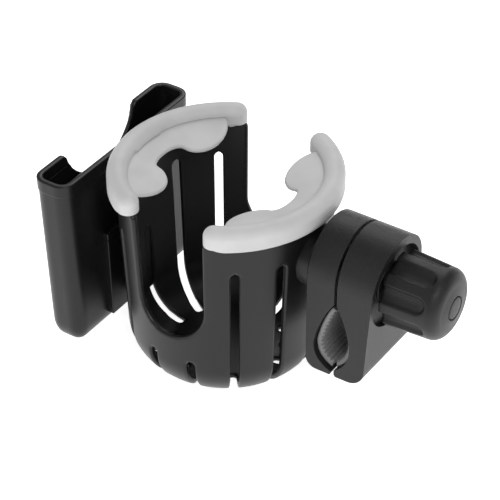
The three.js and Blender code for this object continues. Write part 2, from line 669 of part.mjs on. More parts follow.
/** The pocket's outside with a rounded foot, or its inside when inset. It narrows a little downwards. */
function pocketBlock(inset, bottom, top) {
  const round = POCKET_FOOT_ROUND - inset;
  const side = POCKET_CORNER - POCKET_PLAN_CORNER - inset;
  const edge = inset + side;
  const plan = roundedPlan(
    POCKET_BACK_X + edge, POCKET_FACE_X - edge, POCKET_HALF - edge, POCKET_PLAN_CORNER);
  const geometry = new THREE.ExtrudeGeometry(plan, {
    depth: REACH, bevelEnabled: true, bevelThickness: round, bevelSize: side, bevelSegments: 4,
  }).translate(0, 0, bottom + round);
  const points = geometry.attributes.position;
  for (let i = 0; i < points.count; i += 1) {
    const rise = (points.getZ(i) - POCKET_BOTTOM) / (POCKET_TOP - POCKET_BOTTOM);
    const half = POCKET_FOOT_HALF + (POCKET_HALF - POCKET_FOOT_HALF) * rise;
    points.setY(i, (points.getY(i) * half) / POCKET_HALF + POCKET_SHIFT);
  }
  return solid(geometry).intersect(box(-REACH, REACH, -REACH, REACH, 0, top));
}

function phonePocket() {
  const bandPlan = roundedPlan(
    POCKET_BACK_X - POCKET_BAND, POCKET_FACE_X + POCKET_BAND,
    POCKET_HALF + POCKET_BAND, POCKET_CORNER + POCKET_BAND);
  const band = alongZ(bandPlan, POCKET_TOP - POCKET_BAND_HEIGHT, POCKET_TOP).translate(0, POCKET_SHIFT, 0);
  const plate = box(POCKET_FACE_X - 1, PLATE_X, -PLATE_HALF, PLATE_HALF, PLATE_BOTTOM, PLATE_TOP);
  const channel = alongZ(dovetail(GAP), 0, RAIL_TOP + GAP);
  const inside = pocketBlock(POCKET_WALL, POCKET_BOTTOM + POCKET_WALL, REACH);
  const circle = arcPoints(POCKET_SHIFT, POCKET_CUT_Z, POCKET_CUT_R, POCKET_CUT_R, 0, 360, 64).slice(0, -1);
  const cut = alongX(shapeOf(circle), -REACH, POCKET_BACK_X + POCKET_CORNER);
  const outside = pocketBlock(0, POCKET_BOTTOM, POCKET_TOP);
  return leaned(cutAll(joinAll(outside, band, plate), inside, cut, channel));
}

place("phone_pocket", "black_plastic", phonePocket());

export default holder;
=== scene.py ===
"""Clamp-on cup holder: a slotted cup with soft rim grips, a tube clamp on a swivel, and a phone pocket."""

import math

import bmesh
import bpy
import numpy as np
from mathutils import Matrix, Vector


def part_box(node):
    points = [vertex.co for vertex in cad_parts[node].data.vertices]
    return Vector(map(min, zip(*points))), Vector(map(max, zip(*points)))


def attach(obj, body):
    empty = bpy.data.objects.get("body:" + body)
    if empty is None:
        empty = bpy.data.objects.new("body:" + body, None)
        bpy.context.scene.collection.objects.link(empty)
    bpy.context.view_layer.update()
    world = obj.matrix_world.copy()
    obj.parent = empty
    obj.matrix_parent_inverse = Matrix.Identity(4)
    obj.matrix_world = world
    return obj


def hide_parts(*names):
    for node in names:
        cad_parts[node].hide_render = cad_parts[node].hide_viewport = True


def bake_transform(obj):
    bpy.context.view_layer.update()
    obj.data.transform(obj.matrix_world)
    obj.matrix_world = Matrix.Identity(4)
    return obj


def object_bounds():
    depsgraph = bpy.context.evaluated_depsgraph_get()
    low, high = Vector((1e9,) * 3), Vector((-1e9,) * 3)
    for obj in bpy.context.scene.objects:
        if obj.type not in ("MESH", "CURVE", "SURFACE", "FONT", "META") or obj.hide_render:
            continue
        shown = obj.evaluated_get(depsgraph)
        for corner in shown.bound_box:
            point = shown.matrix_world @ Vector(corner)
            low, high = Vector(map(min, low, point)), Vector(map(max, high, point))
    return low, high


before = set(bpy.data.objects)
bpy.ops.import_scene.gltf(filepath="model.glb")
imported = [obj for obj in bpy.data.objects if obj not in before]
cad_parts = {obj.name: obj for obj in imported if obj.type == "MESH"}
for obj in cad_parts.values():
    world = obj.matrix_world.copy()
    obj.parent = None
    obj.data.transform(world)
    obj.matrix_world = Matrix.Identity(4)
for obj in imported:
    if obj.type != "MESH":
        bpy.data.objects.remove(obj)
cad_low, cad_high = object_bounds()

# ---------------------------------------------------------------- camera and light
# A long lens looks down on the holder from the clamp's side. Three soft panels light the black plastic, with
# a dim white room round them.

AIM = Vector((0.01156, 0.0, 0.05592))
DISTANCE = 0.9264
AZIMUTH, ELEVATION = math.radians(33.65), math.radians(36.86)

camera = bpy.data.objects.new("camera", bpy.data.cameras.new("camera"))
bpy.context.scene.collection.objects.link(camera)
flat = math.cos(ELEVATION) * DISTANCE
across, away, rise = math.sin(AZIMUTH) * flat, -math.cos(AZIMUTH) * flat, math.sin(ELEVATION) * DISTANCE
camera.location = AIM + Vector((across, away, rise))
camera.rotation_euler = (AIM - camera.location).to_track_quat("-Z", "Y").to_euler()
camera.data.lens = 156.9
camera.data.sensor_width = 36
camera.data.shift_x, camera.data.shift_y = 0.0018, 0.0028
bpy.context.scene.camera = camera
bpy.context.scene.view_settings.view_transform = "Standard"


def soft_panel(name, place, aim, size, power):
    """A square area light that faces a point."""
    lamp = bpy.data.lights.new(name, "AREA")
    lamp.size, lamp.energy = size, power
    panel = bpy.data.objects.new(name, lamp)
    panel.location = place
    panel.rotation_euler = (Vector(aim) - Vector(place)).to_track_quat("-Z", "Y").to_euler()
    bpy.context.scene.collection.objects.link(panel)


soft_panel("key_panel", (0.75, -0.55, 1.05), (0.02, 0, 0.05), 0.55, 7)
soft_panel("side_panel", (-0.95, -0.75, 0.55), (0, 0, 0.05), 0.5, 2.5)
soft_panel("back_panel", (-0.35, 0.9, 0.9), (0, 0, 0.06), 0.7, 4.5)

world = bpy.data.worlds.new("room")
world.use_nodes = True
world.node_tree.nodes["Background"].inputs["Color"].default_value = (1, 1, 1, 1)
world.node_tree.nodes["Background"].inputs["Strength"].default_value = 0.4
bpy.context.scene.world = world

# ---------------------------------------------------------------- cup wall
# One black moulding: a bowl with a round foot, fourteen slots from its floor up its side, and a deep U cut
# in each of two sides. Its edges are rounded, and its top stands inside the soft rim covers.

MM = 0.001
cage_box, knob_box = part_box("cup_cage"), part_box("knob_body")
AXIS_Z = (knob_box[0][2] / MM + knob_box[1][2] / MM) / 2
CUP_TOP = cage_box[1][2] / MM
CUP_TOP_R, BOWL_R, BOWL_ROUND = 46.8, 43.0, 20.0
WALL = 2.6
SLOTS, SLOT_HALF, SLOT_START = 14, 1.85, 24.0
SLOT_TOP, HUB_SLOT_TOP, SHORT_SLOT_TOP, BLIND_SLOT_TOP = 73.3, 50.0, 22.5, 48.0
CUT_HALF, CUT_FOOT_HALF, CUT_BOTTOM = 17.4, 16.3, 34.2
SHOULDER_Z, HORN_ANGLE = 88.2, 62.7
SCREW_SEAT_R = 6.4
FAR_AWAY = 100.0


class Wire:
    """A node's output. Sums on wires and numbers add their Math nodes."""

    def __init__(self, recipe, socket):
        self.recipe, self.socket = recipe, socket

    def _math(self, operation, first, second):
        return self.recipe.node("ShaderNodeMath", {"operation": operation}, {0: first, 1: second})

    def __add__(self, other):
        return self._math("ADD", self, other)

    def __mul__(self, other):
        return self._math("MULTIPLY", self, other)

    __radd__ = __add__
    __rmul__ = __mul__

    def step(self, low, high):
        """0 below low and 1 above high, with a smooth rise between."""
        return self.recipe.node(
            "ShaderNodeMapRange", {"interpolation_type": "SMOOTHSTEP"}, {"Value": self, 1: low, 2: high})


class Recipe:
    """A material under construction, with Object coordinates in metres."""

    def __init__(self, name):
        self.material = bpy.data.materials.new(name)
        self.material.use_nodes = True
        self.tree = self.material.node_tree
        self.surface = self.tree.nodes["Principled BSDF"]
        self.place = self.node("ShaderNodeTexCoord", {}, {}, "Object")

    def node(self, kind, settings, values, output=0):
        """Adds a node, sets its settings, then fills its sockets with numbers, colours or wires."""
        made = self.tree.nodes.new(kind)
        for key, value in settings.items():
            setattr(made, key, value)
        for key, value in values.items():
            self.fill(made.inputs[key], value)
        return Wire(self, made.outputs[output])

    def fill(self, socket, value):
        if isinstance(value, Wire):
            self.tree.links.new(value.socket, socket)
        else:
            socket.default_value = value

    def noise(self, size, detail=2.0):
        """Soft noise whose blobs are about this many metres wide."""
        values = {"Vector": self.place, "Scale": 1 / size, "Detail": detail}
        return self.node("ShaderNodeTexNoise", {}, values, "Fac")

    def blend(self, share, first, second):
        values = {"Factor": share, 6: (*first, 1), 7: (*second, 1)}
        return self.node("ShaderNodeMix", {"data_type": "RGBA"}, values, 2)

    def bump(self, height, depth, strength=1.0, under=None):
        values = {"Height": height, "Distance": depth, "Strength": strength}
        if under is not None:
            values["Normal"] = under
        return self.node("ShaderNodeBump", {}, values, "Normal")

    def finish(self, **sockets):
        for name, value in sockets.items():
            self.fill(self.surface.inputs[name.replace("_", " ")], value)
        return self.material


def satin_black():
    """Moulded plastic: nearly smooth, with a faint waviness from the mould and a slightly cloudy gloss."""
    recipe = Recipe("satin_black")
    cloud = recipe.noise(0.02)
    fine = recipe.noise(0.0006, 3)
    wavy = recipe.bump(recipe.noise(0.012), 0.0003, 0.25)
    return recipe.finish(
        Base_Color=recipe.blend(cloud.step(0.3, 0.7), (0.0042, 0.0043, 0.0047), (0.0056, 0.0057, 0.0062)),
        Roughness=0.3 + 0.08 * cloud + 0.05 * fine, Specular_IOR_Level=0.34,
        Normal=recipe.bump(fine, 0.00002, 0.3, wavy))


finishes = {"black_plastic": satin_black()}


def put(name, points, faces, finish, body, replaces=(), smooth_below=None, whole_faces=False):
    """Makes a mesh from points in millimetres, closes its seams, turns its faces outwards and hangs it on a
    body. whole_faces joins flat neighbours into one face."""
    mesh = bpy.data.meshes.new(name)
    mesh.from_pydata((np.reshape(points, (-1, 3)) * MM).tolist(), [], faces)
    work = bmesh.new()
    work.from_mesh(mesh)
    bmesh.ops.remove_doubles(work, verts=work.verts, dist=2e-6)
    if whole_faces:
        bmesh.ops.dissolve_limit(work, angle_limit=math.radians(1), verts=work.verts, edges=work.edges)
    bmesh.ops.recalc_face_normals(work, faces=work.faces)
    work.to_mesh(mesh)
    work.free()
    mesh.polygons.foreach_set("use_smooth", np.ones(len(mesh.polygons), bool))
    if smooth_below is not None:
        mesh.set_sharp_from_angle(angle=math.radians(smooth_below))
    mesh.materials.append(finishes[finish])
    made = bpy.data.objects.new(name, mesh)
    bpy.context.scene.collection.objects.link(made)
    if body is not None:
        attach(made, body)
    if replaces:
        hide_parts(*replaces)
    return made


def grid_faces(rows, columns):
    """Four-sided faces between neighbouring points of a grid, as rows of point numbers."""
    first = (np.arange(rows - 1)[:, None] * columns + np.arange(columns - 1)[None, :]).ravel()
    return np.stack([first, first + 1, first + columns + 1, first + columns], 1)


def trimmed(u, v, inside):
    """A grid cut to an outline. inside(u, v) is the distance to the outline, positive on the kept side.
    Where a grid line crosses the outline, its nearer end slides onto it down the slope of that distance.
    Then whole cells are kept, halved or dropped. Returns the moved u and v and the faces."""
    value = inside(u, v)
    snap = np.zeros(u.shape, bool)
    for one, two in ((np.s_[:, :-1], np.s_[:, 1:]), (np.s_[:-1], np.s_[1:])):
        crossed = value[one] * value[two] < 0
        nearer = np.abs(value[one]) <= np.abs(value[two])
        snap[one] |= crossed & nearer
        snap[two] |= crossed & ~nearer
    u, v = u.copy(), v.copy()
    small = 0.01
    for _ in range(6):
        here = inside(u, v)
        slope_u = (inside(u + small, v) - inside(u - small, v)) / (2 * small)
        slope_v = (inside(u, v + small) - inside(u, v - small)) / (2 * small)
        step = np.where(snap, here / np.maximum(slope_u**2 + slope_v**2, 0.05), 0)
        u, v = u - step * slope_u, v - step * slope_v
    out = (~snap & (value < 0)).ravel()
    keep = (~snap & (value >= 0)).ravel()
    cells = grid_faces(*u.shape)
    any_out, any_in = out[cells].any(1), keep[cells].any(1)
    faces, between = cells[~any_out & any_in], cells[~any_out & ~any_in]
    middle = inside(u.ravel()[between].mean(1), v.ravel()[between].mean(1))
    faces = np.concatenate([faces, between[middle > 0]])
    halves = cells[any_out & any_in]
    turns = np.argmax(keep[halves], 1)
    corner = np.stack([(turns + 3) % 4, turns, (turns + 1) % 4], 1)
    triangles = np.take_along_axis(halves, corner, 1)
    return u, v, faces.tolist() + triangles.tolist()


def used_only(points, faces):
    """Drops the points that no face uses."""
    flat_list = np.concatenate([np.ravel(face) for face in faces])
    used = np.unique(flat_list)
    number = np.full(len(points), -1)
    number[used] = np.arange(len(used))
    return points[used], [[int(number[i]) for i in face] for face in faces]


def cup_profile(length):
    """Radius and height of the cup's outside at a length along it: flat floor, quarter round, leaning wall.
    The wall's radius grows by the lean times its height above the round."""
    flat_end = BOWL_R - BOWL_ROUND
    arc_end = flat_end + BOWL_ROUND * math.pi / 2
    angle = np.clip((length - flat_end) / BOWL_ROUND, 0, math.pi / 2)
    rise = np.maximum(length - arc_end, 0)
    lean = (CUP_TOP_R - BOWL_R) / (CUP_TOP - BOWL_ROUND)
    radius = np.minimum(length, flat_end) + BOWL_ROUND * np.sin(angle) + lean * rise
    return radius, BOWL_ROUND * (1 - np.cos(angle)) + rise


def cup_outline(u, v):
    """Distance to the nearest slot, U cut, shoulder or screw hole, with u as an arc at the rim's radius. A
    slot is a strip with a round top; a U cut is a strip that widens above its round foot."""
    angle = u / CUP_TOP_R
    radius, height = cup_profile(v)
    cut = np.full(np.shape(angle * v), -FAR_AWAY)
    for number in range(SLOTS):
        centre = 2 * math.pi * number / SLOTS
        top = SLOT_TOP
        if abs(abs((number * 360 / SLOTS + 180) % 360 - 180) - 90) < 360 / SLOTS:
            top = SHORT_SLOT_TOP
        if number == 0:
            top = HUB_SLOT_TOP
        if number * 2 == SLOTS:
            top = BLIND_SLOT_TOP
        across = radius * np.sin(angle - centre)
        ahead = np.cos(angle - centre) > 0
        end = np.hypot(across, np.maximum(height - (top - SLOT_HALF), 0))
        slot = np.minimum(SLOT_HALF - end, radius - SLOT_START)
        cut = np.maximum(cut, np.where(ahead, slot, -FAR_AWAY))
    x = radius * np.cos(angle)
    above = height - (CUT_BOTTOM + CUT_FOOT_HALF)
    widen = (CUT_HALF - CUT_FOOT_HALF) * np.maximum(above, 0) / (CUP_TOP - CUT_BOTTOM - CUT_FOOT_HALF)
    cut = np.maximum(cut, CUT_FOOT_HALF + widen - np.hypot(x, np.minimum(above, 0)))
    from_x = np.abs(np.abs((np.degrees(angle) + 180) % 360 - 180) - 90)
    shoulder = (90 - HORN_ANGLE - from_x) * math.pi / 180 * radius
    cut = np.maximum(cut, np.minimum(shoulder, height - SHOULDER_Z))
    seat = SCREW_SEAT_R - np.hypot(radius * np.sin(angle), height - AXIS_Z)
    return -np.maximum(cut, np.where(x > 0, seat, -FAR_AWAY))


def round_off(made):
    """Rounds every edge of a thick sheet by dividing its faces once."""
    soft = made.modifiers.new("round_off", "SUBSURF")
    soft.levels = soft.render_levels = 1


def thicken(made, thickness):
    """Gives a sheet its wall, on its inner side."""
    wall = made.modifiers.new("wall", "SOLIDIFY")
    wall.thickness, wall.offset = thickness * MM, -1
    wall.use_even_offset = True


per_sector = 12
turn = np.linspace(math.pi / SLOTS, math.pi / SLOTS + 2 * math.pi, SLOTS * per_sector + 1)
wall_end = BOWL_R - BOWL_ROUND + BOWL_ROUND * math.pi / 2 + CUP_TOP - BOWL_ROUND
lengths = np.concatenate([[0, 6, 12, 17, 20.5], np.linspace(23, wall_end, 58)])
grid_u, grid_v = np.meshgrid(turn * CUP_TOP_R, lengths)
cup_u, cup_v, cup_faces = trimmed(grid_u, grid_v, cup_outline)
cup_r, cup_z = cup_profile(cup_v)
cup_angle = cup_u / CUP_TOP_R
cup_points = np.stack([cup_r * np.cos(cup_angle), cup_r * np.sin(cup_angle), cup_z], -1).reshape(-1, 3)
cup_points, cup_faces = used_only(cup_points, cup_faces)
cup = put("cup_wall", cup_points, cup_faces, "black_plastic", "cup", ["cup_cage"])
thicken(cup, WALL)
round_off(cup)

# ---------------------------------------------------------------- swivel boss
# A round boss stands on the cup's side, moulded with it. Its front is the face that the clamp's hub turns
# on, and its hollow back, inside the cup, holds the head of the swivel screw.

BOSS_R, BOSS_FACE_X, BOSS_BACK_X = 13.4, 49.6, 42.8
SEAT_X, SCREW_HOLE_R = 46.9, 3.0
SEAT_EDGE_R = SCREW_SEAT_R - 0.2
BOSS_ROOT_X = BOSS_BACK_X + 0.7


def arc(cx, cy, radius, start, end, count):
    """Points on a round, angles in degrees."""
    angle = np.radians(np.linspace(start, end, count))
    return [(cx + radius * math.cos(a), cy + radius * math.sin(a)) for a in angle]


def turned(profile, sides):
    """A closed profile of (x, radius) carried round the clamp's axis: y is radius times cosine, and z is
    radius times sine above the axis."""
    x, radius = np.array(profile + profile[:1]).T
    angle = np.linspace(0, 2 * math.pi, sides + 1)[:, None]
    y = radius[None, :] * np.cos(angle)
    z = radius[None, :] * np.sin(angle) + AXIS_Z
    return np.stack([np.broadcast_to(x, y.shape), y, z], -1), grid_faces(sides + 1, len(x)).tolist()


boss_profile = [
    (BOSS_BACK_X, SEAT_EDGE_R), (SEAT_X, SEAT_EDGE_R), (SEAT_X, SCREW_HOLE_R),
    (BOSS_FACE_X, SCREW_HOLE_R), *arc(BOSS_FACE_X - 1, BOSS_R - 1, 1, 0, 90, 6), (BOSS_ROOT_X, BOSS_R)]
put("swivel_boss", *turned(boss_profile, 96), "black_plastic", "cup", smooth_below=35)

# ---------------------------------------------------------------- pocket rail on the cup
# A dovetail rail on the cup's back, moulded with it, that the phone pocket drops onto from above.
# It leans with the cup's wall.

LEAN, LEAN_TOP = 0.028, 89.4
RAIL = {"bottom": 14.0, "top": 50.0, "neck": 7.0, "wide": 9.0,
        "neck_x": -48.3, "face_x": -50.6, "root_x": -43.5}


def leaned(points):
    """Slides each level towards the cup by the lean times its depth below the pocket's mouth."""
    points = np.array(points, float)
    points[..., 0] += LEAN * (LEAN_TOP - points[..., 2])
    return points


def prism(outline, z0, z1):
    """An outline of (x, y) carried straight up, closed by a flat face at each end."""
    count = len(outline)
    points = [(x, y, z) for z in (z0, z1) for x, y in outline]
    sides = [[i, (i + 1) % count, (i + 1) % count + count, i + count] for i in range(count)]
    return np.array(points), sides + [list(range(count)), list(range(count, 2 * count))]


def soften(made, width, segments=3, angle=30):
    """Rounds the sharp edges with a bevel of this width in millimetres."""
    bevel = made.modifiers.new("soft_edges", "BEVEL")
    bevel.width, bevel.segments = width * MM, segments
    bevel.limit_method, bevel.angle_limit = "ANGLE", math.radians(angle)
    bevel.harden_normals = True


rail_plan = [
    (RAIL["face_x"], -RAIL["wide"]), (RAIL["neck_x"], -RAIL["neck"]), (RAIL["root_x"], -RAIL["neck"]),
    (RAIL["root_x"], RAIL["neck"]), (RAIL["neck_x"], RAIL["neck"]), (RAIL["face_x"], RAIL["wide"])]
rail_points, rail_faces = prism(rail_plan, RAIL["bottom"], RAIL["top"])
soften(put("pocket_rail", leaned(rail_points), rail_faces, "black_plastic", "cup", smooth_below=30), 0.5)

# ---------------------------------------------------------------- rim covers
# Two soft grey covers, each a half-round bead with round ends, pushed down over one tall wall of the cup.
# The outer skirt reaches further down than the lip on the inside.

RIM = {"outer": 50.0, "inner": 41.0, "top": 97.0, "crown": 4.2, "foot": 87.4, "lip": 92.9, "end": 62.0}
LIP = {"radius": 44.5, "rise": 2.5, "end": 57.0, "end_rise": 1.8}
END_LIFT = {"start": 56, "length": 6}
STEP = {"end": 13, "depth": 0.8, "sharpness": 8}
rim_middle = (RIM["outer"] + RIM["inner"]) / 2
rim_half = (RIM["outer"] - RIM["inner"]) / 2


def light_grey():
    """Soft moulded grip: an even light grey with a fine matte skin and a faint bloom."""
    recipe = Recipe("light_grey")
    bloom = recipe.noise(0.015)
    skin = recipe.noise(0.0005, 3)
    return recipe.finish(
        Base_Color=recipe.blend(bloom.step(0.3, 0.7), (0.52, 0.52, 0.52), (0.57, 0.57, 0.57)),
        Roughness=0.5 + 0.1 * skin, Normal=recipe.bump(skin, 0.00003, 0.35))


finishes["grey_soft"] = light_grey()


def bead_path():
    """Round the cover's plan in order: outer arc, round end, inner arc, round end. Gives the points of the
    spine, which is an arc along the middle of the bead, and the outward directions."""
    end = math.radians(RIM["end"])
    out_arc = np.linspace(-end, end, 72)
    half_turn = np.linspace(0, math.pi, 20)[1:-1]
    round_end = np.full(len(half_turn), end)
    spine_angle = np.concatenate([out_arc, round_end, out_arc[::-1], -round_end, [-end]])
    facing = np.concatenate([out_arc, end + half_turn, out_arc[::-1] + math.pi, -end + math.pi + half_turn,
                             [2 * math.pi - end]])
    spine = rim_middle * np.stack([np.cos(spine_angle), np.sin(spine_angle)], -1)
    return spine, np.stack([np.cos(facing), np.sin(facing)], -1)


def rim_cover(step_in):
    """The profile, a quarter ellipse and a straight skirt, is carried round the spine. A point is the spine
    plus its facing times the reach. The skirt's foot is higher inside the wall, where the leaf is, and is
    drawn up a little at the ends. step_in moves the inner edge further in over the middle."""
    spine, facing = bead_path()
    crown = np.radians(np.linspace(0, 90, 14))
    skirt_reach = np.array([1, 1, 1, 0.93, 0.8, 0])
    skirt_share = np.array([0.33, 0.66, 0.94, 1, 1, 1])
    reach_out = np.concatenate([np.sin(crown), skirt_reach]) * rim_half
    drop = np.concatenate([1 - np.cos(crown), np.ones(len(skirt_reach))]) * RIM["crown"]
    skirt = np.concatenate([np.zeros(len(crown)), skirt_share])
    from_middle = np.degrees(np.abs(np.arctan2(spine[:, 1], spine[:, 0])))
    inner_side = np.sum(spine * facing, 1) < 0
    stepped = step_in * (inner_side & (from_middle < STEP["end"]))
    reach_all = reach_out[None, :] + stepped[:, None] * (reach_out[None, :] / rim_half) ** STEP["sharpness"]
    plan = spine[:, None, :] + facing[:, None, :] * reach_all[..., None]
    inside_wall = np.hypot(*(spine + facing * rim_half).T)
    lipped = np.clip((LIP["radius"] - inside_wall) / LIP["rise"], 0, 1)
    lipped = lipped * np.clip((LIP["end"] - from_middle) / LIP["end_rise"], 0, 1)
    drawn_up = np.clip((from_middle - END_LIFT["start"]) / END_LIFT["length"], 0, 1) ** 2
    foot = RIM["foot"] + drawn_up + (RIM["lip"] - RIM["foot"]) * lipped
    shoulder = RIM["top"] - RIM["crown"]
    z = RIM["top"] - drop - skirt[None, :] * (shoulder - foot[:, None])
    points = np.concatenate([plan, z[..., None]], -1)
    return points, grid_faces(*z.shape).tolist()


for side, sign, step_in in (("clamp_side", 1, 0.0), ("pocket_side", -1, STEP["depth"])):
    cover_points, cover_faces = rim_cover(step_in)
    turned_points = cover_points * (sign, sign, 1)
    put(f"{side}_cover", turned_points, cover_faces, "grey_soft", "cup", [f"{side}_rim_cover"])

# ---------------------------------------------------------------- grip leaves
# A thin soft leaf with two round lobes runs inwards from each cover, and falls towards the cup's axis. A cup
# that is pushed in folds the lobes down. Each half of a leaf is its own piece.

LEAF = {"top": 92.4, "slope": 0.23, "thickness": 1.8, "meets_cover": 40.7, "outer": 43.5, "edge": 0.5}
LOBE = {"x": 28.3, "y": 22.5, "half_x": 10.5, "half_y": 13.5}
WAIST = {"half_x": 3.6, "half_y": 9.0}
FOLD = {"angle": math.radians(15), "start": 31.7, "end": 25.0}
LEAF_CELL = 0.34


def oval(x, y, cx, cy, half_x, half_y):
    """Distance inside an oval, positive within: its implicit value over the length of its slope."""
    dx, dy = (x - cx) / half_x, (y - cy) / half_y
    size = np.hypot(dx, dy)
    slope = np.hypot(dx / half_x, dy / half_y) / np.maximum(size, 1e-6)
    return (1 - size) / np.maximum(slope, 1e-6)


def leaf_free_edge(x, y):
    """Distance to the leaf's free edge: the lobe or the band towards the cover, less the waist."""
    lobe = oval(x, y, LOBE["x"], LOBE["y"], LOBE["half_x"], LOBE["half_y"])
    band = np.where(np.abs(y) < LOBE["y"], x - LOBE["x"], -FAR_AWAY)
    waist = oval(x, y, LOBE["x"], 0, WAIST["half_x"], WAIST["half_y"])
    return np.minimum(np.maximum(lobe, band), -waist)


def leaf_outline(x, y):
    """Distance to the free edge or to the arc where the leaf ends under the cover."""
    return np.minimum(leaf_free_edge(x, y), LEAF["outer"] - np.hypot(x, y))


def half_leaf():
    """Upper and lower skin over a trimmed plan grid. Each skin leaves the cone's middle by half the
    thickness, and comes back to it along a narrow quarter oval at the free edge."""
    x, y = np.meshgrid(np.arange(16.5, 42.5, LEAF_CELL), np.arange(0, 38.5, LEAF_CELL))
    x, y, faces = trimmed(x, y, leaf_outline)
    half = LEAF["thickness"] / 2
    share = np.clip(leaf_free_edge(x, y) / LEAF["edge"], 0, 1)
    lift = half * np.sqrt(share * (2 - share))
    middle = LEAF["top"] - half - LEAF["slope"] * (LEAF["meets_cover"] - np.hypot(x, y))
    upper = np.stack([x, y, middle + lift], -1).reshape(-1, 3)
    lower = np.stack([x, y, middle - lift], -1).reshape(-1, 3)
    count = len(upper)
    under = [[i + count for i in face[::-1]] for face in faces]
    return used_only(np.concatenate([upper, lower]), faces + under)


leaf_points, leaf_faces = half_leaf()
across = np.array([math.cos(FOLD["angle"]), math.sin(FOLD["angle"]), 0])
for side, sign in (("clamp_side", 1), ("pocket_side", -1)):
    for name, y_sign in (("far", 1), ("near", -1)):
        mirror = np.array([sign, y_sign, 1])
        nodes = [f"{side}_lobe_{name}"] + ([f"{side}_leaf_root"] if name == "far" else [])
        half = put(f"{side}_leaf_{name}", leaf_points * mirror, leaf_faces, "grey_soft", None, nodes)
        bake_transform(half)

# ---------------------------------------------------------------- swivel hub
# A black disc, screwed to the back of the fixed jaw, that turns on the boss. The nylon washer between them
# and the wave washer under the screw's head give it its drag.


def metal(name, dark, bright, roughness):
    """Turned or plated metal: fine tool marks round the clamp's axis and slight stains."""
    recipe = Recipe(name)
    stretched = recipe.node("ShaderNodeMapping", {}, {"Vector": recipe.place, "Scale": (9000, 400, 400)})
    marks = recipe.node("ShaderNodeTexNoise", {}, {"Vector": stretched, "Scale": 1.0, "Detail": 2.0}, "Fac")
    stain = recipe.noise(0.004)
    return recipe.finish(
        Base_Color=recipe.blend(stain.step(0.3, 0.7), dark, bright), Metallic=1.0,
        Roughness=roughness + 0.12 * marks, Normal=recipe.bump(marks, 0.00002, 0.3))


def nylon():
    """Natural nylon washer: creamy white with a little cloudiness."""
    recipe = Recipe("nylon")
    cloud = recipe.noise(0.003)
    return recipe.finish(
        Base_Color=recipe.blend(cloud, (0.68, 0.66, 0.6), (0.76, 0.75, 0.7)), Roughness=0.4 + 0.1 * cloud)


finishes["steel"] = metal("zinc", (0.5, 0.5, 0.51), (0.62, 0.62, 0.63), 0.25)
finishes["brass"] = metal("brass", (0.5, 0.34, 0.12), (0.62, 0.45, 0.18), 0.25)
finishes["nylon"] = nylon()


def coat(finish, *nodes):
    """Gives small plain pieces their finish as they are."""
    for node in nodes:
        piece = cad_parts[node].data
        piece.materials.clear()
        piece.materials.append(finishes[finish])


coat("steel", "swivel_screw", "swivel_wave_washer", "hub_screw_near", "hub_screw_far")
coat("nylon", "swivel_friction_washer")
coat("brass", "hub_insert")
hub_low, hub_high = (np.array(corner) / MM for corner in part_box("swivel_hub"))
HUB_R = (hub_high[1] - hub_low[1]) / 2
HUB_BORE_R, SPIGOT_R, DISC_BACK_X, DISC_ROUND = 4.3, 6.0, 55.2, 0.6
hub_profile = [
    (hub_low[0], HUB_BORE_R), (hub_high[0], HUB_BORE_R), (hub_high[0], SPIGOT_R), (DISC_BACK_X, SPIGOT_R),
    *arc(DISC_BACK_X - DISC_ROUND, HUB_R - DISC_ROUND, DISC_ROUND, 0, 90, 4),
    *arc(hub_low[0] + 1, HUB_R - 1, 1, 90, 180, 5)]
put("hub_disc", *turned(hub_profile, 120), "black_plastic", "clamp", ["swivel_hub"], smooth_below=35)

# ---------------------------------------------------------------- jaws
# Two halves of a block with a round top, moulded in black with a fine grain. The fixed one holds the bolt's
# head; the sliding one has a round recess for the knob. Between them is the grip for the tube.


def grained_black():
    """Moulded plastic with an eroded grain: shallow pits of 0.3 mm that break the highlight up."""
    recipe = Recipe("grained_black")
    grain = recipe.noise(0.00042, 4)
    patch = recipe.noise(0.006)
    pits = grain.step(0.38, 0.62)
    return recipe.finish(
        Base_Color=recipe.blend(pits, (0.0068, 0.007, 0.0074), (0.0105, 0.0107, 0.0112)),
        Roughness=0.32 + 0.1 * grain + 0.06 * patch, Specular_IOR_Level=0.32,
        Normal=recipe.bump(pits, 0.00006, 0.7))


finishes["grained_plastic"] = grained_black()


def jaw(name, node, body):
    """The jaw's solid with its flat faces made whole and all its edges rounded."""
    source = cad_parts[node].data
    points = np.empty(len(source.vertices) * 3)
    source.vertices.foreach_get("co", points)
    faces = [list(face.vertices) for face in source.polygons]
    made = put(name, points / MM, faces, "grained_plastic", body, [node], smooth_below=28, whole_faces=True)
    soften(made, 1.2, 4)


jaw("fixed_jaw", "inner_jaw", "clamp")
jaw("moving_jaw", "outer_jaw", "sliding_jaw")

# ---------------------------------------------------------------- grip pads
# Grey rubber pads line both sides of the grip, with ribs across them that bite on the tube.
# They are glued in, and stop a little short of the jaws' sides.

PAD = {"half": 17.5, "thickness": 1.5, "rib": 0.85, "ribs": 15, "start": 0.1, "end": 0.97,
       "back": 0.3, "rib_fade": 1.2, "edge_round": 0.7}
inner_edge, outer_edge = 66.25, 67.55
INNER_GRIP = [(inner_edge, 63.6), (59.6, 54.6), (56.9, 41), (56.4, 31.5), (65.7, 28.3)]
OUTER_GRIP = [(outer_edge, 63.6), (72.6, 54.6), (73.9, 44), (74.4, 34.6), (66.5, 29.2)]


def pad_grey():
    """Ribbed rubber: mid grey, dull, darker in fine specks."""
    recipe = Recipe("pad_grey")
    speck = recipe.noise(0.0007, 3)
    return recipe.finish(
        Base_Color=recipe.blend(speck.step(0.35, 0.65), (0.17, 0.17, 0.172), (0.22, 0.22, 0.222)),
        Roughness=0.62 + 0.12 * speck, Normal=recipe.bump(speck, 0.00004, 0.4))


finishes["pad_rubber"] = pad_grey()


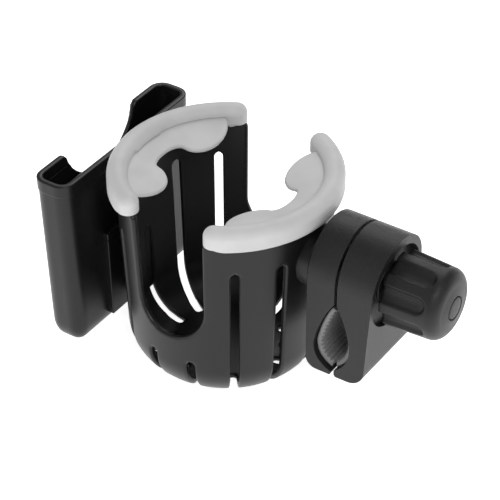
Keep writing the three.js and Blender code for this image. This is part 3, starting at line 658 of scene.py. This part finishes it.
def grip_curve(control, share):
    """Points and unit tangents at the given shares of length along two quadratic curves, from the peak to
    the lip, and the whole length."""
    p = np.array(control)
    t = np.linspace(0, 1, 200)[:, None]
    pieces = [(1 - t) ** 2 * p[i] + 2 * t * (1 - t) * p[i + 1] + t**2 * p[i + 2] for i in (0, 2)]
    path = np.concatenate([pieces[0], pieces[1][1:]])
    length = np.concatenate([[0], np.cumsum(np.hypot(*np.diff(path, axis=0).T))])
    at = share * length[-1]
    points = np.stack([np.interp(at, length, path[:, k]) for k in (0, 1)], -1)
    tangent = np.gradient(points, axis=0)
    return points, tangent / np.hypot(*tangent.T)[:, None], length[-1]


def pad(control, towards):
    """Back and front skins over a grid of share along the grip and place across it. The front stands off by
    the pad's thickness plus ribs, and both edges turn down to the back along a round."""
    share = np.linspace(PAD["start"], PAD["end"], PAD["ribs"] * 10 + 1)
    points, tangent, total = grip_curve(control, share)
    normal = np.stack([-tangent[:, 1], tangent[:, 0]], -1) * towards
    y = PAD["half"] * np.sin(np.linspace(-1, 1, 41) * math.pi / 2)
    across_edge = PAD["half"] - np.abs(y)[None, :]
    along_edge = np.minimum(share - PAD["start"], PAD["end"] - share)[:, None] * total
    edge = np.minimum(across_edge, along_edge)
    wave = math.pi * PAD["ribs"] * (share - PAD["start"]) / (PAD["end"] - PAD["start"])
    rib = np.abs(np.sin(wave))[:, None]
    fade = np.clip(across_edge / PAD["rib_fade"], 0, 1)
    from_edge = np.clip(edge / PAD["edge_round"], 0, 1)
    round_edge = np.sqrt(from_edge * (2 - from_edge))
    front = PAD["back"] + (PAD["thickness"] + PAD["rib"] * rib * fade) * round_edge
    back = np.full(front.shape, PAD["back"])
    skins = []
    for off in (front, back):
        xz = points[:, None, :] + normal[:, None, :] * off[..., None]
        skins.append(np.stack([xz[..., 0], np.broadcast_to(y, off.shape), xz[..., 1]], -1).reshape(-1, 3))
    faces = grid_faces(len(share), len(y))
    return np.concatenate(skins), faces.tolist() + (faces[:, ::-1] + len(skins[0])).tolist()


put("fixed_pad", *pad(INNER_GRIP, 1), "pad_rubber", "clamp", ["inner_jaw_pad"])
put("moving_pad", *pad(OUTER_GRIP, -1), "pad_rubber", "sliding_jaw", ["outer_jaw_pad"])

# ---------------------------------------------------------------- bolt and spring
# The clamp bolt is an M8 stud with two flats, zinc plated, with its hexagonal head held in the fixed jaw. A
# light coil spring round it opens the jaws as the knob is undone.

BOLT = {"radius": 4.0, "flat": 3.1, "depth": 0.35, "pitch": 1.25, "start": 61.0, "head": 7.0}
bolt_low, bolt_high = (np.array(corner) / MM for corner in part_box("clamp_bolt"))
spring_low, spring_high = (np.array(corner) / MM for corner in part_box("jaw_spring"))


def threaded_stud():
    """Radius over x and angle: the stud less a triangular groove that advances one pitch a turn, shaved to
    the height of the flats, and drawn in to the axis at both ends."""
    x = np.arange(BOLT["start"], bolt_high[0] - 0.001, BOLT["pitch"] / 6)
    angle = np.linspace(0, 2 * math.pi, 49)
    phase = (x[:, None] / BOLT["pitch"] - angle[None, :] / (2 * math.pi)) % 1
    radius = BOLT["radius"] - BOLT["depth"] * np.abs(2 * phase - 1)
    radius[0] = radius[-1] = 0
    x[-1] = x[-2]
    y, z = radius * np.cos(angle), np.clip(radius * np.sin(angle), -BOLT["flat"], BOLT["flat"])
    points = np.stack([np.broadcast_to(x[:, None], y.shape), y, z + AXIS_Z], -1)
    return points, grid_faces(*y.shape).tolist()


def hexagon_head():
    """A hexagon carried along the axis from the head's back to its front."""
    corner = np.radians(np.arange(6) * 60)
    outline = [(math.sin(a) * BOLT["head"], math.cos(a) * BOLT["head"]) for a in corner]
    points, faces = prism(outline, bolt_low[0], BOLT["start"])
    return np.stack([points[:, 2], points[:, 0], points[:, 1] + AXIS_Z], -1), faces


def coil(radius, wire, turns):
    """A round wire carried along a helix about the clamp's axis, closed at its ends."""
    t = np.linspace(0, 1, turns * 36 + 1)
    around = 2 * math.pi * turns * t
    x = spring_low[0] + wire + (spring_high[0] - spring_low[0] - 2 * wire) * t
    section = np.linspace(0, 2 * math.pi, 11)
    size = np.where((t == 0) | (t == 1), 0, wire)[:, None]
    out = radius + size * np.cos(section)
    y, z = out * np.cos(around)[:, None], out * np.sin(around)[:, None]
    points = np.stack([x[:, None] + size * np.sin(section), y, z + AXIS_Z], -1)
    return points, grid_faces(*y.shape).tolist()


put("stud", *threaded_stud(), "steel", "clamp", ["clamp_bolt"], smooth_below=40)
soften(put("stud_head", *hexagon_head(), "steel", "clamp", smooth_below=30), 0.4)
put("coil_spring", *coil(radius=5.8, wire=0.5, turns=5), "steel", "clamp", ["jaw_spring"])
coat("steel", "bolt_stop_clip")

# ---------------------------------------------------------------- knob
# The clamp's knob: black, with the same grain as the jaws, a narrow collar at its back, and eight wide
# flutes that end below a domed nose. A small round cap in its tip covers the end of the bolt.

knob_low, knob_high = (np.array(corner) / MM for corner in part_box("knob_body"))
KNOB = {"radius": 16.5, "nose": 15.6, "edge": 6.0, "dome": 0.8, "skirt": 84.5, "collar": 10.0, "bore": 6.4}
FLUTE = {"count": 8, "depth": 2.2, "half": 0.265, "end": 104.8, "shoulder": 1.5, "plain_within": 12}
CAP_HOLE_R = 5.2


def smooth(value):
    """0 below 0 and 1 above 1, with a smooth rise between: 3 squares less 2 cubes."""
    value = np.clip(value, 0, 1)
    return value * value * (3 - 2 * value)


def knob_shell():
    """The profile over x, of collar, skirt, side, nose and the cap's hole, carried round the axis, and sunk
    by the flute's depth. Across, a flute is a shallow bowl with a soft shoulder; along, it rises out of the
    knob over a rounded end."""
    base, tip = knob_low[0], knob_high[0]
    nose_x = tip - KNOB["edge"]
    skirt = KNOB["skirt"]
    side_x = np.linspace(skirt + 0.9, nose_x, 44)
    side_r = KNOB["radius"] + (KNOB["nose"] - KNOB["radius"]) * (side_x - skirt) / (nose_x - skirt)
    bend = np.radians(np.linspace(0, 90, 14))[1:]
    nose_r = KNOB["nose"] - KNOB["edge"] + KNOB["edge"] * np.cos(bend)
    tip_x = nose_x + (KNOB["edge"] - KNOB["dome"]) * np.sin(bend)
    end_r = np.array([8.5, 7.2, 6.0, CAP_HOLE_R + 0.35, CAP_HOLE_R, CAP_HOLE_R, CAP_HOLE_R, KNOB["bore"]])
    end_x = np.array([tip - 0.55, tip - 0.33, tip - 0.12, tip - 0.05, tip - 0.35, tip - 2.2, base, base])
    foot_r = np.array([
        KNOB["bore"], KNOB["collar"], KNOB["collar"], KNOB["radius"] - 0.9, KNOB["radius"] - 0.25])
    foot_x = np.array([base, base, skirt, skirt, skirt + 0.25])
    x = np.concatenate([foot_x, side_x, tip_x, end_x])
    radius = np.concatenate([foot_r, side_r, nose_r, end_r])
    angle = np.linspace(0, 2 * math.pi, FLUTE["count"] * 28 + 1)
    step = 2 * math.pi / FLUTE["count"]
    off = np.abs((angle + step / 2) % step - step / 2)[None, :]
    to_end = (FLUTE["end"] - x)[:, None]
    across_mm = off * KNOB["radius"]
    half = FLUTE["half"] * KNOB["radius"]
    inside = half - np.where(to_end < half, np.hypot(across_mm, half - to_end), across_mm)
    sink = FLUTE["depth"] * smooth(inside / FLUTE["shoulder"]) * (0.72 + 0.28 * smooth(inside / half))
    sink = np.where(radius[:, None] > FLUTE["plain_within"], sink, 0)
    around = angle[None, :] + step / 2
    depth = radius[:, None] - sink
    points = np.stack([np.broadcast_to(x[:, None], depth.shape), depth * np.cos(around),
                       depth * np.sin(around) + AXIS_Z], -1)
    return points, grid_faces(*depth.shape).tolist()


def knob_cap():
    """A small domed disc with a rounded rim, closed at its back: a profile carried round the axis."""
    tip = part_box("knob_cap")[1][0] / MM
    profile_r = np.array([0, 2.0, 3.4, 4.3, 4.7, 4.9, 4.9, 0])
    profile_x = tip - np.array([0, 0.03, 0.1, 0.2, 0.36, 0.7, 1.6, 1.6])
    angle = np.linspace(0, 2 * math.pi, 73)[:, None]
    y, z = profile_r * np.cos(angle), profile_r * np.sin(angle) + AXIS_Z
    return np.stack([np.broadcast_to(profile_x, y.shape), y, z], -1), grid_faces(*y.shape).tolist()


put("knob_shell", *knob_shell(), "grained_plastic", "knob", ["knob_body"], smooth_below=50)
put("tip_cap", *knob_cap(), "grained_plastic", "knob", ["knob_cap"], smooth_below=50)
coat("brass", "knob_insert")
coat("steel", "knob_thrust_washer")

# ---------------------------------------------------------------- phone pocket
# One black moulding: a flat open-topped pouch with a band round its mouth, a round cut in its back for the
# fingers, a rounded foot, and a plate on the cup's side with the channel that drops over the rail.

POCKET = {"face": -50.9, "back": -68.3, "half": 45.8, "foot_half": 43.2, "shift": 1.2, "corner": 6.0,
          "top": 89.4, "bottom": 5.5, "round": 8.0, "side_round": 4.4, "wall": 2.2,
          "band": 0.4, "band_height": 6.0, "band_lining": 0.06}
FINGER_CUT = {"radius": 25.0, "z": 95.0, "round": 2.2}
PLATE = {"half": 21.6, "bottom": 10.8, "top": 54.0, "x": -48.2, "sunk": 1.0, "clearance": 0.3}
BEND_START, BEND_END = 0.35, 0.65
PERIMETER_SCALE = 55.0


def pocket_plan(u, inset):
    """A rectangle with round corners, drawn in by the inset: u runs from 0 to 4 round its sides and corners,
    and each corner takes the middle part of its step."""
    centre = (POCKET["face"] + POCKET["back"]) / 2
    half_x = (POCKET["face"] - POCKET["back"]) / 2 - inset
    half_y = POCKET["half"] - inset
    corner = np.maximum(POCKET["corner"] - inset, 0.3)
    straight_x, straight_y = half_x - corner, half_y - corner
    quarter, part = np.minimum(np.floor(u), 3), u - np.minimum(np.floor(u), 3)
    bend = np.clip((part - BEND_START) / (BEND_END - BEND_START), 0, 1) * math.pi / 2
    first = np.clip(part / BEND_START, 0, 1)
    last = np.clip((part - BEND_END) / (1 - BEND_END), 0, 1)
    along = np.where(quarter % 2 == 0, straight_y, straight_x)
    after = np.where(quarter % 2 == 0, straight_x, straight_y)
    side = np.where(quarter % 2 == 0, half_x, half_y)
    p = side - corner * (1 - np.cos(bend)) - last * after
    q = first * along + corner * np.sin(bend)
    cos_q = np.array([1, 0, -1, 0])[quarter.astype(int)]
    sin_q = np.array([0, 1, 0, -1])[quarter.astype(int)]
    return centre + p * cos_q - q * sin_q, p * sin_q + q * cos_q


def pocket_surface(u, v, out=0.0):
    """v runs down the outside from the mouth, round the foot and in under the floor to its middle line. The
    width narrows evenly to the foot, and out stands the surface off by that much."""
    height = POCKET["top"] - POCKET["bottom"]
    wall_length = height - POCKET["round"]
    arc_length = POCKET["round"] * math.pi / 2
    bend = np.clip((v - wall_length) / POCKET["round"], 0, math.pi / 2)
    inward = np.maximum(v - wall_length - arc_length, 0)
    inset = POCKET["side_round"] * (1 - np.cos(bend)) + inward - out
    z = POCKET["top"] - np.minimum(v, wall_length) - POCKET["round"] * np.sin(bend)
    x, y = pocket_plan(u, inset)
    rise = (z - POCKET["bottom"]) / height
    narrow = (POCKET["foot_half"] + (POCKET["half"] - POCKET["foot_half"]) * rise) / POCKET["half"]
    return x, y * narrow + POCKET["shift"], z


def pocket_outline(u_mm, v):
    """Distance to the finger cut in the back wall, with u scaled to millimetres. Where the cut meets the
    mouth, the distances to both are joined round a small circle."""
    x, y, z = pocket_surface(u_mm / PERIMETER_SCALE, v)
    middle = (POCKET["face"] + POCKET["back"]) / 2
    cut = np.hypot(y - POCKET["shift"], z - FINGER_CUT["z"]) - FINGER_CUT["radius"]
    tip = FINGER_CUT["round"]
    tip_cut = tip - np.hypot(tip - cut, tip - v)
    cut = np.where((cut < tip) & (v < tip), tip_cut, cut)
    return np.where(x < middle - 2, cut, FAR_AWAY)


def side_steps(before, after):
    """Places of u along one side: a straight run, the round corner, and the start of the next side."""
    straight = np.linspace(0, BEND_START, before)[:-1]
    corner = np.linspace(BEND_START, BEND_END, 8)[:-1]
    return np.concatenate([straight, corner, np.linspace(BEND_END, 1, after)[:-1]])


def pocket_sheet(name, down, out, wall, replaces=()):
    """The pocket's outside over a run of v, cut to the outline, leaned, given its wall and rounded."""
    u, v, faces = trimmed(*np.meshgrid(round_u * PERIMETER_SCALE, down), pocket_outline)
    points = np.stack(pocket_surface(u / PERIMETER_SCALE, v, out), -1).reshape(-1, 3)
    points, faces = used_only(points, faces)
    made = put(name, leaned(points), faces, "black_plastic", "pocket", replaces)
    thicken(made, wall)
    round_off(made)


short_u, long_u = side_steps(4, 20), side_steps(20, 4)
round_u = np.concatenate([long_u, short_u + 1, long_u + 2, short_u + 3, [4.0]])
pouch_down = np.concatenate([[0.4, 1.0, 2.2, 3.8, 5.6, 7.4], np.arange(9.5, 75, 2.0),
                             np.linspace(76, 88.5, 9), [88.9, 89.3]])
pocket_sheet("pouch", pouch_down, 0.0, POCKET["wall"], ["phone_pocket"])
band_down = np.array([0, 0.5, 1.2, 2.2, 3.4, 4.6, 5.5, POCKET["band_height"]])
band_wall = POCKET["wall"] + POCKET["band"] + POCKET["band_lining"]
pocket_sheet("mouth_band", band_down, POCKET["band"], band_wall)

plate_root = POCKET["face"] - PLATE["sunk"]
channel_x = RAIL["face_x"] - PLATE["clearance"]
channel_wide, channel_neck = RAIL["wide"] + PLATE["clearance"], RAIL["neck"] + PLATE["clearance"]
channel_top = RAIL["top"] + PLATE["clearance"]
plate_plan = [
    (plate_root, -PLATE["half"]), (PLATE["x"], -PLATE["half"]), (PLATE["x"], -channel_neck),
    (channel_x, -channel_wide), (channel_x, channel_wide),
    (PLATE["x"], channel_neck), (PLATE["x"], PLATE["half"]), (plate_root, PLATE["half"])]
plate_points, plate_faces = prism(plate_plan, PLATE["bottom"], channel_top)
plate = put("channel_plate", leaned(plate_points), plate_faces, "black_plastic", "pocket", smooth_below=30)
soften(plate, 0.5)
head_plan = [plate_plan[0], plate_plan[1], plate_plan[6], plate_plan[7]]
head_points, head_faces = prism(head_plan, channel_top, PLATE["top"])
plate_head = put("channel_stop", leaned(head_points), head_faces, "black_plastic", "pocket", smooth_below=30)
soften(plate_head, 0.5)

# ---------------------------------------------------------------- floor
# A plain white sheet lies under the cup, far wider than it. It gives off a little light of its own, so that
# it stays white where the panels don't reach.

floor_mesh = bpy.data.meshes.new("floor")
reach = 4.0
below = cad_low[2] - 0.0002
corners = [(-reach, -reach, below), (reach, -reach, below), (reach, reach, below), (-reach, reach, below)]
floor_mesh.from_pydata(corners, [], [(0, 1, 2, 3)])
floor = bpy.data.objects.new("floor", floor_mesh)
bpy.context.scene.collection.objects.link(floor)
paper = Recipe("paper")
tooth = paper.noise(0.002)
floor_mesh.materials.append(paper.finish(
    Base_Color=paper.blend(tooth, (0.96, 0.96, 0.96), (0.98, 0.98, 0.98)), Roughness=0.9,
    Emission_Color=(1, 1, 1, 1), Emission_Strength=0.85))
